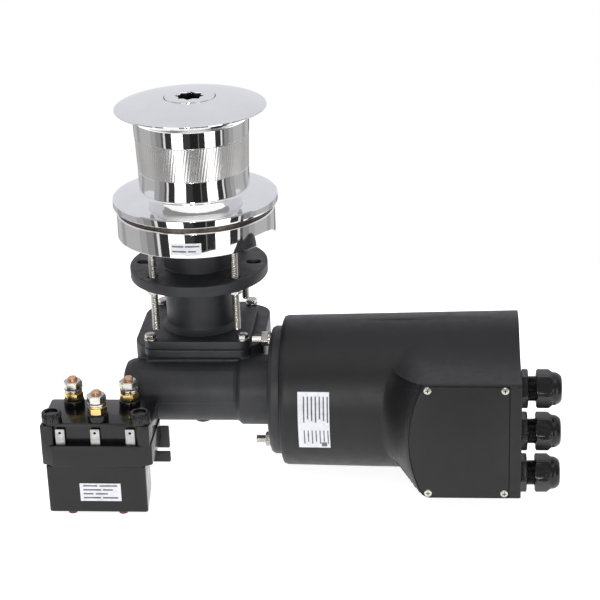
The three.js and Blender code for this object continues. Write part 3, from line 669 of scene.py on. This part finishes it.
def cover_columns():
    """(x, box depth, box half height, share of the bow) from the left rim to the right edge."""
    front = BOX_FRONT - BOX_EDGE
    narrow = BOX_HALF_HEIGHT - BOX_CORNER
    hidden = 15
    wall = []
    for drop in np.linspace(1, 0, 46) ** 1.4 * (front - hidden):
        x = BOX_LEFT - float(flare(drop))
        wall.append((x, front - drop, narrow, 1))
    left = wall[0][0]
    columns = [(x, hidden, BOX_HALF_HEIGHT, 0) for x in (89, 89.6, 90.3, 91.8, 93.5, 96)]
    for share in np.linspace(0.06, 0.95, 12):
        columns.append((96 + (left - 96) * share, hidden, BOX_HALF_HEIGHT, share**3))
    columns += wall
    for e in BOX_CORNER * (1 - np.cos(np.linspace(0.12, math.pi / 2, 12))):
        edge = math.sqrt(max(0, BOX_EDGE**2 - (BOX_EDGE - min(e, BOX_EDGE)) ** 2))
        side = math.sqrt(BOX_CORNER**2 - (BOX_CORNER - e) ** 2)
        columns.append((BOX_LEFT + e, front + edge, narrow + side, 1))
    for share in np.linspace(0.1, 1, 10):
        x = BOX_LEFT + BOX_CORNER + (BOX_RIGHT - 1.6 - BOX_LEFT - BOX_CORNER) * share
        columns.append((x, BOX_FRONT, BOX_HALF_HEIGHT, 1 - share))
    for turn in np.linspace(0.4, math.pi / 2, 4):
        inset = 1.6 * (1 - math.cos(turn))
        x = BOX_RIGHT - 1.6 + 1.6 * math.sin(turn)
        columns.append((x, BOX_FRONT - inset, BOX_HALF_HEIGHT - inset, 0))
    return columns


def cover_angles(depth, half):
    """Angles round the axis, close together where the box has its corner."""
    corner = math.atan2(half, depth)
    span = math.radians(3.2)
    face = np.linspace(0, corner - span, 20, endpoint=False)
    bend = np.linspace(corner - span, corner + span, 12, endpoint=False)
    rest = np.linspace(corner + span, math.pi, 54)
    upper = np.concatenate([face, bend, rest])
    return np.concatenate([upper, -upper[1:-1][::-1]])


def motor_cover():
    rows = []
    for x, depth, half, share in cover_columns():
        angles = cover_angles(depth, half)
        box = box_radius(angles, x, depth)
        radius = smooth_max(cover_radius(x), box, BLEND * np.maximum(np.cos(angles), 0.05))
        rows.append((x, np.broadcast_to(radius, len(angles)), angles, share))
    last = rows[-1][2]
    for x, radius in ((BOX_RIGHT, 75.7), (318, 75.7), (318, 52.2), (89, 52.2)):
        rows.append((x, np.full(len(last), radius), last, 0))
    points = []
    for x, radius, angles, share in rows:
        height = radius * np.sin(angles)
        shift = bow(np.where(np.cos(angles) > 0, height, 0)) * share * (np.cos(angles) > 0)
        places = [x + shift, MOTOR_Y - radius * np.cos(angles), MOTOR_Z + height]
        points.append(np.column_stack(places))
    shape = np.vstack(points), grid_faces(len(rows), len(last))
    cover = raw_object("visual_motor_cover", shape)
    carve(cover, facing_front(prism(lid_plan(1.3), 166.6, 175)))
    dress(cover, "housing", PLASTIC, ["motor_cover"])


def lid_plan(inset):
    """The lid's outline in X and Z: a bowed left side with round corners and three straight ones."""
    half = BOX_HALF_HEIGHT - inset
    start = BOX_LEFT + inset
    turn = half - 9
    corner = [(start + bow(half) - 0.6, half), (start + bow(half) + 9, half)]
    upper = []
    for t in np.linspace(0, 1, 9):
        bend = (1 - t) ** 2 * np.array([start + bow(turn), turn]) + t**2 * np.array(corner[1])
        upper.append(tuple(bend + 2 * t * (1 - t) * np.array(corner[0])))
    side = [(start + bow(h), h) for h in np.linspace(turn, -turn, 25)[1:-1]]
    lower = [(x, -h) for x, h in upper]
    outline = [(317.6 - inset, half), *upper[::-1], *side, *lower, (317.6 - inset, -half)]
    return soften([(float(x), float(h) + MOTOR_Z) for x, h in outline], 2.5)


def junction_lid():
    lid = facing_front(prism(lid_plan(1.9), 166.9, 170))
    piece("visual_junction_lid", lid, "housing", PLASTIC, ["junction_lid"], bevel=0.5)
    head = [(0, 168.9), (3.9, 168.9), (3.9, 169.9), (3.3, 170.5), (2, 170.75), (0, 170.8)]
    for number, (x, z) in enumerate(LID_SCREWS, 1):
        screw = raw_object(f"visual_lid_screw_{number}", facing_front(turned(soften(head, 0.2), 48)))
        bar = prism(rectangle(-2, 2, -0.45, 0.45, 0.2), 169.9, 172)
        cross = prism(rectangle(-0.45, 0.45, -2, 2, 0.2), 169.9, 172)
        carve(screw, facing_front(bar), facing_front(cross))
        screw.data.transform(Matrix.Translation((x * MM, 0, z * MM)))
        dress(screw, "housing", ZINC, [f"lid_screw_{number}"])


def cover_end_cap():
    outline = [(0, 323), (70, 323), (72, 321), (75.2, 321), (75.2, 327.1), (68, 327.1), (66, 325.6)]
    shape = along_x(turned(soften([*outline, (0, 325.6)], 0.6), 128))
    piece("visual_end_cap", shape, "housing", PLASTIC, ["cover_end_cap"])


def glands():
    for number, z in enumerate(GLAND_HEIGHTS, 1):
        collar = along_x(hexagon(33, 327.8, 333.6, 12, 1.1), GLAND_Y, z)
        covers = [f"gland_body_{number}"]
        piece(f"visual_gland_{number}", collar, "housing", GLAND, covers, bevel=0.5)
        waist = along_x(gland_thread(), GLAND_Y, z)
        piece(f"gland_thread_{number}", waist, "housing", GLAND, covers)
        nut = along_x(gland_nut_shape(), GLAND_Y, z)
        covers = [f"gland_nut_{number}"]
        piece(f"visual_gland_nut_{number}", nut, "housing", GLAND, covers, bevel=0.35)
        seal = [(5.2, 355), (10.2, 355), (10.2, 363.6), (9.4, 364.2), (6, 363), (5.2, 361)]
        ring = along_x(turned(soften(seal, 0.4), 64), GLAND_Y, z)
        piece(f"gland_seal_{number}", ring, "housing", RUBBER)


def gland_thread():
    steps = 48
    angles = np.arange(steps) / steps
    rings = [(8.5, 322)]
    for height in np.arange(322, 352, 0.3):
        phase = (height / 1.5 - angles) % 1
        rings.append((12.5 - 0.8 * np.abs(2 * phase - 1), height))
    return turned([*rings, (8.5, 352)], steps)


def gland_nut_shape():
    """A hexagon that runs into a round dome."""
    steps = 192
    flats = hexagon_radius(33, steps)
    rings = [(12.9, 341.5), (17.2, 341.5), (flats, 342.6), (flats, 353.6)]
    rings += [(np.minimum(flats, 17.4), 355.4), (16.6, 356.6)]
    rings += spline([(16.2, 357.2), (15.6, 361), (13.6, 364.4), (11.2, 366)], 4)
    return turned([*rings, (10.3, 365.2), (10.3, 355), (12.9, 352.5)], steps)


# ---- contactor ----


def contactor_case():
    outline = [(-139, -108), (-139.5, CASE_FRONT), (-40, CASE_FRONT), (-46, -108)]
    case = prism(soften(outline, 3, 6), -236, -185.3)
    piece("visual_contactor_case", case, "contactor", GLOSS, ["contactor_case"], bevel=1.0)
    for number, (x, y) in enumerate(CASE_FEET, 1):
        foot = moved(rod(4.6, -239, -235.5, 0.5), x, y)
        piece(f"contactor_foot_{number}", foot, "contactor", FOOT, ["contactor_case"])


def contactor_lid():
    """The stepped moulding that holds the terminals."""
    covers = ["contactor_lid"]
    outline = [(-143, -106), (-143, -164), (-131, -170), (-45, -170), (-33, -164), (-33, -106)]
    ledge = prism(soften(outline, 2), -185, -162)
    piece("visual_contactor_lid", ledge, "contactor", GLOSS, covers, bevel=0.9)
    upper = prism(rectangle(-142, -34, -162.5, -106, 3), -162.4, -141)
    piece("contactor_lid_upper", upper, "contactor", GLOSS, covers, bevel=1.2)
    for number, (x0, x1) in enumerate(((-142, -129.5), (-46.5, -34)), 1):
        post = prism(rectangle(x0, x1, -168.5, -160, 2), -162.4, -141)
        piece(f"contactor_post_{number}", post, "contactor", GLOSS, covers, bevel=0.8)
    for number, (x, y) in enumerate(TERMINALS, 1):
        collar = moved(rod(10.5, -141.6, -133.8, 1.6, 64), x, y)
        piece(f"contactor_collar_{number}", collar, "contactor", GLOSS, covers)
    for number, (x, y) in enumerate(KNOBS, 1):
        piece(f"contactor_knob_{number}", moved(knob(), x, y), "contactor", GLOSS, covers)


def knob():
    """A round pillar with a serrated rim and a dished top."""
    steps = 192
    rings = [(0, -141.5), (10, -141.5), (10, -134.4)]
    for height, radius in ((-134, 9.8), (-131, 9.7), (-130.2, 9.3)):
        rings.append((serrated(steps, radius, 30, 0.6), height))
    return turned([*rings, (8.4, -130), (6.6, -130.1), (6.2, -132), (0, -132)], steps)


def contactor_terminals():
    for number, (x, y) in enumerate(TERMINALS, 1):
        covers = [f"contactor_stud_{number}"]
        base_nut = moved(hexagon(17, -133.5, -126.2, 4.8), x, y)
        piece(f"contactor_hex_{number}", base_nut, "contactor", BRASS, covers, bevel=0.35)
        stud = moved(threaded(5, -138, -110, 1.5, 0.6, 32), x, y)
        piece(f"visual_contactor_stud_{number}", stud, "contactor", COPPER, covers)
        nut = moved(hexagon(17, -121.8, -113.5, 4.8, 0.9), x, y)
        top = [f"contactor_nut_{number}"]
        piece(f"visual_contactor_nut_{number}", nut, "contactor", ZINC, top, bevel=0.35)
        washer = moved(rod(9.2, -124.2, -122, 0.4, 64), x, y)
        piece(f"contactor_washer_{number}", washer, "contactor", ZINC, top)
        shim = moved(rod(8.9, -126, -124.4, 0.4, 64), x, y)
        piece(f"contactor_shim_{number}", shim, "contactor", BRASS, covers)


def contactor_tabs():
    """Flat blades with a small round hole, each drawn as rings from the hole out to its edge."""
    angles = np.arange(96) * math.tau / 96
    up, down = np.maximum(np.sin(angles), 1e-3), np.maximum(-np.sin(angles), 1e-3)
    edge = np.minimum(4.6 / np.maximum(np.abs(np.cos(angles)), 1e-3), np.minimum(4 / up, 20 / down))
    edge = np.minimum(edge, 5.6 + 30 * down)
    rings = [(1.4, 165.4), (edge, 165.4), (edge, 166.1), (edge - 0.15, 166.2), (1.4, 166.2)]
    for number, x in enumerate(TABS, 1):
        blade = facing_front(moved(turned(rings, 96), x, -149.5))
        piece(f"visual_contactor_tab_{number}", blade, "contactor", TAB, [f"contactor_tab_{number}"])


def contactor_bracket():
    """The mounting plate behind, with an open slot at each end."""
    outline = [(-25, -212), (-25, -200.8), (-38, -200.8), (-40.5, -198.3), (-38, -195.8)]
    outline += [(-25, -195.8), (-25, -172), (-151, -172), (-151, -195.8), (-138, -195.8)]
    outline += [(-135.5, -198.3), (-138, -200.8), (-151, -200.8), (-151, -212)]
    plate = facing_front(prism(soften(outline, 1.4), 102.7, 105.7))
    piece("visual_bracket", plate, "contactor", BRACKET, ["contactor_bracket"], bevel=0.4)


# ---- labels: plain film with plain bars ----


def slab(surface_point, u0, u1, v0, v1, low, high, columns=24):
    """A thin skin on a surface: surface_point gives a place for u, v and a height above it."""
    across = np.linspace(u0, u1, columns)
    points = []
    for u, v, lift in (
        *((u, v0, low) for u in across),
        *((u, v1, low) for u in across),
        *((u, v1, high) for u in across),
        *((u, v0, high) for u in across),
    ):
        points.append(surface_point(u, v, lift))
    faces = []
    for i in range(4):
        for k in range(columns - 1):
            j = (i + 1) % 4
            faces.append((i * columns + k, i * columns + k + 1, j * columns + k + 1, j * columns + k))
    ends = (0, columns - 1)
    faces += [tuple(i * columns + end for i in range(4)) for end in ends]
    return np.array(points), faces


def label(name, body, surface_point, u0, u1, v0, v1, bars):
    """A film on a surface and its bars, each bar given as shares of the film's width and height."""
    piece(name, slab(surface_point, u0, u1, v0, v1, -0.3, 0.16), body, PAPER)
    strips = []
    for a, b, c, d in bars:
        du, dv = u1 - u0, v1 - v0
        strips.append(
            slab(surface_point, u0 + du * a, u0 + du * b, v0 + dv * c, v0 + dv * d, 0.1, 0.2, 8)
        )
    piece(name + "_print", joined(*strips), body, PRINT)


def on_base(u, v, lift):
    angle = u / BASE_RADIUS
    radius = BASE_RADIUS + lift
    return radius * math.sin(angle), -radius * math.cos(angle), v


def on_motor(u, v, lift):
    radius = float(cover_radius(v)) + lift
    angle = u / radius
    return v, MOTOR_Y - radius * math.cos(angle), MOTOR_Z + radius * math.sin(angle)


def on_case(u, v, lift):
    return u, CASE_FRONT - lift, v


def text_bars(rows, start=0.08, end=0.92, height=0.35):
    """Rows of plain bars of different lengths, from the top down."""
    bars = []
    for row in range(rows):
        top = 1 - (row + 0.6) / (rows + 0.4)
        middle = start + (end - start) * (0.42 + 0.13 * math.sin(row * 2.3))
        half = height / (rows + 0.4) / 2
        bars.append((start, middle, top - half, top + half))
        bars.append((middle + 0.05, end - 0.12 * (row % 3), top - half, top + half))
    return bars


def labels():
    label("base_label", "housing", on_base, -16, 15, 3.6, 16.2, text_bars(2, 0.06, 0.94, 0.3))
    bars = []
    for row in range(7):
        side = 0.94 - row * 0.125
        bars.append((0.50 + 0.03 * (row % 3), 0.93, side - 0.022, side + 0.022))
        bars.append((0.09 + 0.04 * (row % 2), 0.36, side - 0.018, side + 0.018))
    bars.append((0.03, 0.12, 0.72, 0.9))
    label("motor_label", "housing", on_motor, -31.3, 31.5, 108.6, 140, bars)
    label("contactor_label", "contactor", on_case, -107, -66, -223.5, -204, text_bars(4))


# ---- stage ----


def plain_emission(name, colour, strength):
    made = bpy.data.materials.new(name)
    made.use_nodes = True
    tree = made.node_tree
    tree.nodes.clear()
    glow = node(tree, "ShaderNodeEmission", Color=(*colour, 1), Strength=strength)
    output = node(tree, "ShaderNodeOutputMaterial")
    tree.links.new(glow.outputs[0], output.inputs[0])
    return made


def stage_mesh(name, points, faces, look, seen=True):
    data = bpy.data.meshes.new(name)
    data.from_pydata(points, [], faces)
    data.materials.append(look)
    obj = bpy.data.objects.new(name, data)
    bpy.context.scene.collection.objects.link(obj)
    obj.visible_camera = seen


def card(name, start, end, low, high, colour, strength, radius=1.6):
    """A curved card of the light tent, from one azimuth to another in degrees from the front."""
    angles = np.radians(np.linspace(start, end, 9))
    points = []
    for height in (low, high):
        points += [(0.1 + radius * math.sin(a), -radius * math.cos(a), height) for a in angles]
    faces = [(k, k + 1, k + 10, k + 9) for k in range(8)]
    stage_mesh(name, points, faces, plain_emission(name, colour, strength), seen=False)


def light_tent():
    """Soft white walls with strip boxes in front and behind, dark gaps beside them and a ceiling."""
    middle = 8.5
    front = [(-22, -8, 0.05), (-8, 8, 0.02), (8, 10, 0.16), (10, 22, 0.03), (22, 44, 2.4)]
    front += [(44, 57, 0.04), (57, 61, 0.9), (61, 66, 0.12), (66, 78, 0.3), (78, 90, 0.42)]
    back = [(-22, 22, 0.2), (22, 44, 0.55), (44, 57, 0.4), (57, 90, 0.52)]
    for centre, spans, top in ((middle, front, 0.34), (middle + 180, back, -0.3)):
        for index, (a, b, strength) in enumerate(spans):
            for sign in (1, -1) if a >= 22 else (1,):
                start, end = sorted((sign * a, sign * b))
                name = f"tent_{int(centre)}_{index}_{'right' if sign > 0 else 'left'}"
                card(name, centre + start, centre + end, -2.2, top, (1, 1, 1), strength)
    card("tent_upper_front", middle - 90, middle + 90, 0.34, 1.9, (1, 1, 1), 0.4)
    card("tent_upper_back", middle + 90, middle + 270, -0.3, 1.9, (0.93, 0.93, 1), 0.86)
    card("tent_key", -5, 3, 0.16, 0.44, (1, 1, 1), 34, 1.56)
    ceiling("tent_ceiling_back", 0.0, 1.7, (0.93, 0.93, 1), 0.88)
    ceiling("tent_ceiling_front", -1.7, 0.0, (1, 1, 1), 1.5)


def ceiling(name, near, far, colour, strength):
    corners = [(-1.7, near, 1.9), (1.9, near, 1.9), (1.9, far, 1.9), (-1.7, far, 1.9)]
    stage_mesh(name, corners, [(0, 1, 2, 3)], plain_emission(name, colour, strength), seen=False)


def floor():
    """A round white floor under the lowest point of the object."""
    steps = 96
    ring = []
    for angle in np.arange(steps) * math.tau / steps:
        x = 0.1 + FLOOR_RADIUS * math.cos(angle)
        ring.append((x, FLOOR_RADIUS * math.sin(angle), FLOOR_HEIGHT))
    made = bpy.data.materials.new("floor")
    made.use_nodes = True
    shader = made.node_tree.nodes["Principled BSDF"]
    shader.inputs["Base Color"].default_value = (0.9, 0.9, 0.9, 1)
    shader.inputs["Roughness"].default_value = 0.9
    shader.inputs["Specular IOR Level"].default_value = 0.1
    shader.inputs["Emission Color"].default_value = (1, 1, 1, 1)
    shader.inputs["Emission Strength"].default_value = 0.8
    stage_mesh("floor", ring, [tuple(range(steps))], made)


def world():
    made = bpy.data.worlds.new("studio")
    bpy.context.scene.world = made
    made.use_nodes = True
    made.node_tree.nodes["Background"].inputs["Color"].default_value = (1, 1, 1, 1)
    made.node_tree.nodes["Background"].inputs["Strength"].default_value = 1.0
    bpy.context.scene.view_settings.view_transform = "Standard"


def camera():
    """The photographer's view: slightly from the right and above, with a slight roll."""
    azimuth, elevation, roll = (math.radians(a) for a in CAMERA_TURN)
    level = math.cos(elevation)
    back = Vector((math.sin(azimuth) * level, -math.cos(azimuth) * level, math.sin(elevation)))
    right = Vector((math.cos(azimuth), math.sin(azimuth), 0))
    up = back.cross(right)
    across = right * math.cos(roll) - up * math.sin(roll)
    above = right * math.sin(roll) + up * math.cos(roll)
    data = bpy.data.cameras.new("camera")
    data.sensor_width = 36
    data.lens = CAMERA_LENS
    data.clip_start = 0.05
    obj = bpy.data.objects.new("camera", data)
    bpy.context.scene.collection.objects.link(obj)
    turn = Matrix((across, above, back)).transposed()
    obj.matrix_world = Matrix.Translation(CAMERA_PLACE) @ turn.to_4x4()
    bpy.context.scene.camera = obj


def hidden_nodes():
    """The CAD nodes inside, and the few simple ones that stay, get the finish of their slot."""
    slots = {part["node"]: part["material_slot"] for part in frame["record"]["subparts"]}
    for name, obj in frame["nodes"].items():
        look = SLOT_LOOKS.get(slots.get(name), DARK_STEEL)
        if not obj.material_slots:
            obj.data.materials.append(look)
        for holder in obj.material_slots:
            holder.link = "OBJECT"
            holder.material = look


camera()
world()
light_tent()
floor()
base_plate()
drum()
clutch_nut()
neck_casting()
studs_and_nuts()
gear_housing()
motor_flange()
through_bolts()
motor_cover()
junction_lid()
cover_end_cap()
glands()
contactor_case()
contactor_lid()
contactor_terminals()
contactor_tabs()
contactor_bracket()
labels()
hidden_nodes()

bpy.context.view_layer.update()
